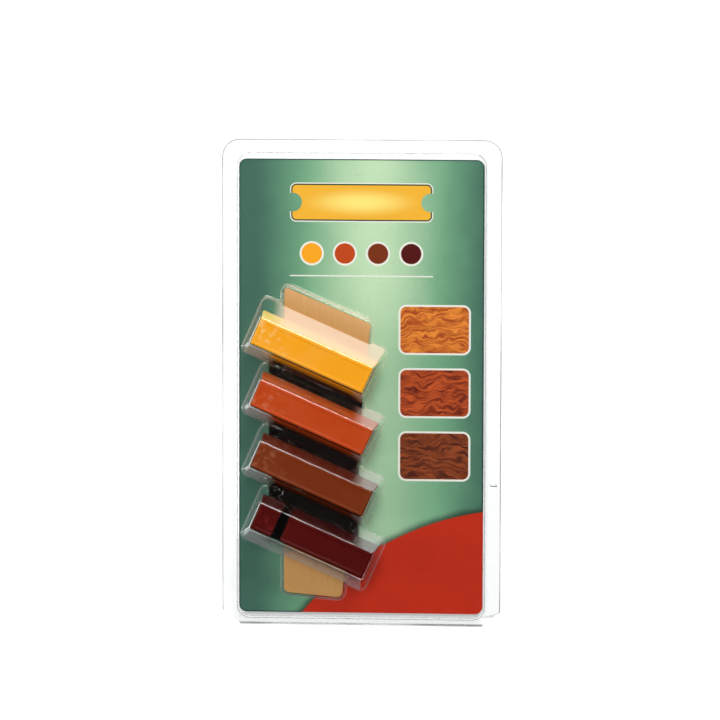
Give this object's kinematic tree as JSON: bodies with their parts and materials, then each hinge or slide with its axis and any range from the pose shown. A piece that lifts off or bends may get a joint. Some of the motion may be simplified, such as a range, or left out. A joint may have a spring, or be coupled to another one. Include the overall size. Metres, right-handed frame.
{
  "type": "furniture repair wax stick pack",
  "caption": "Clear hinged clamshell with coloured wax filler sticks in formed cavities, a flat applicator and a printed card, for mending scratched wooden furniture.",
  "frame": {"origin": "on the table under the middle of the closed pack, which lies on its back", "axes": "+Z out of the pack's front, +Y from the hinge edge to the top edge, +X to the pack's right"},
  "size_m": [0.1016, 0.1774, 0.0143],
  "materials": {
    "clear_sheet": "clear formed sheet, glossy",
    "card": "printed card, satin",
    "applicator": "satin",
    "wax_amber": "satin wax",
    "wax_orange": "satin wax",
    "wax_brown": "satin wax",
    "wax_mahogany": "satin wax"
  },
  "bodies": {
    "back": {"back_shell": "clear_sheet", "printed_card": "card", "living_hinge": "clear_sheet"},
    "lid": {"front_shell": "clear_sheet"},
    "applicator": {"applicator": "applicator"},
    "amber_stick": {"stick_amber": "wax_amber"},
    "orange_stick": {"stick_orange": "wax_orange"},
    "brown_stick": {"stick_brown": "wax_brown"},
    "mahogany_stick": {"stick_mahogany": "wax_mahogany"},
    "mahogany_stick_end": {"stick_mahogany_end": "wax_mahogany"}
  },
  "joints": [
    {"name": "lid_hinge", "type": "hinge", "parent": "back", "child": "lid", "pos_m": [0, -0.08825, 0.00045], "axis": [1, 0, 0], "range_deg": [0, 140], "deforming": ["living_hinge"]},
    {"name": "applicator_play", "type": "slide", "parent": "back", "child": "applicator", "axis": [0, 1, 0], "range_m": [0, 0.0005]},
    {"name": "amber_play", "type": "slide", "parent": "back", "child": "amber_stick", "axis": [0.915, -0.4035, 0], "range_m": [-0.00015, 0.00015]},
    {"name": "orange_play", "type": "slide", "parent": "back", "child": "orange_stick", "axis": [0.915, -0.4035, 0], "range_m": [-0.00015, 0.00015]},
    {"name": "brown_play", "type": "slide", "parent": "back", "child": "brown_stick", "axis": [0.915, -0.4035, 0], "range_m": [-0.00015, 0.00015]},
    {"name": "mahogany_play", "type": "slide", "parent": "back", "child": "mahogany_stick", "axis": [0.915, -0.4035, 0], "range_m": [-0.0013, 0.00015]},
    {"name": "mahogany_end_play", "type": "slide", "parent": "back", "child": "mahogany_stick_end", "axis": [0.915, -0.4035, 0], "range_m": [-0.00015, 0.0013]}
  ]
}
